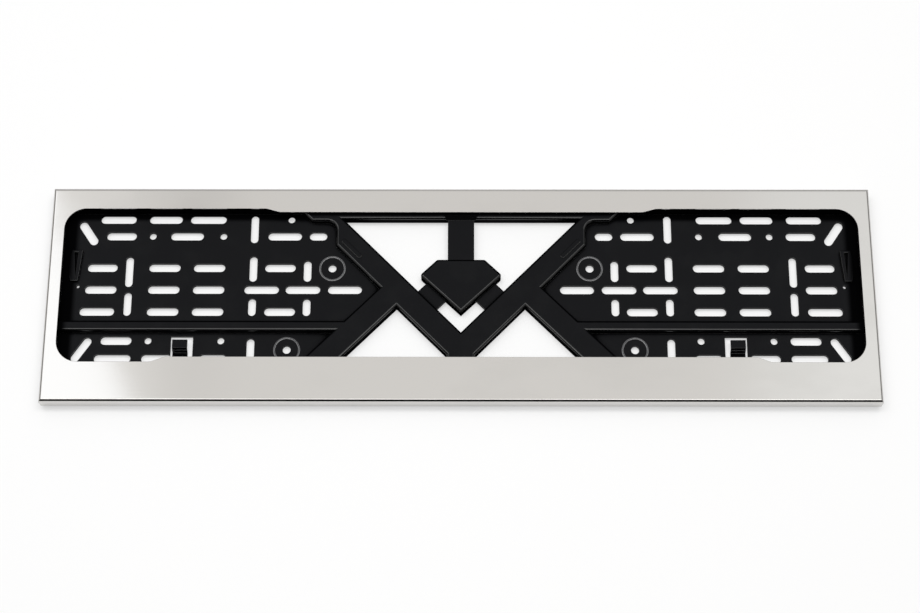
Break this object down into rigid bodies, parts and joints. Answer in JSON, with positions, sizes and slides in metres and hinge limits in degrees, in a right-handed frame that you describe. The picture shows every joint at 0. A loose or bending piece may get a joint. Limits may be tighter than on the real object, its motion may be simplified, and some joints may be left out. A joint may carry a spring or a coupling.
{
  "type": "number plate holder",
  "caption": "Flat car number plate holder: a polished steel frame with a stepped window, snapped round a black moulded base with slots, braces and open triangles.",
  "frame": {"origin": "middle of the holder's outline, on the table plane that its back lies on", "axes": "+X along the plate to the right as read, +Y up the plate, +Z out of the face"},
  "size_m": [0.532, 0.145, 0.013],
  "materials": {
    "polished_steel": "bright polished stainless steel sheet",
    "black_plastic": "satin black moulded plastic"
  },
  "bodies": {
    "root": {"steel_frame": "polished_steel", "base_plate": "black_plastic"}
  },
  "joints": []
}
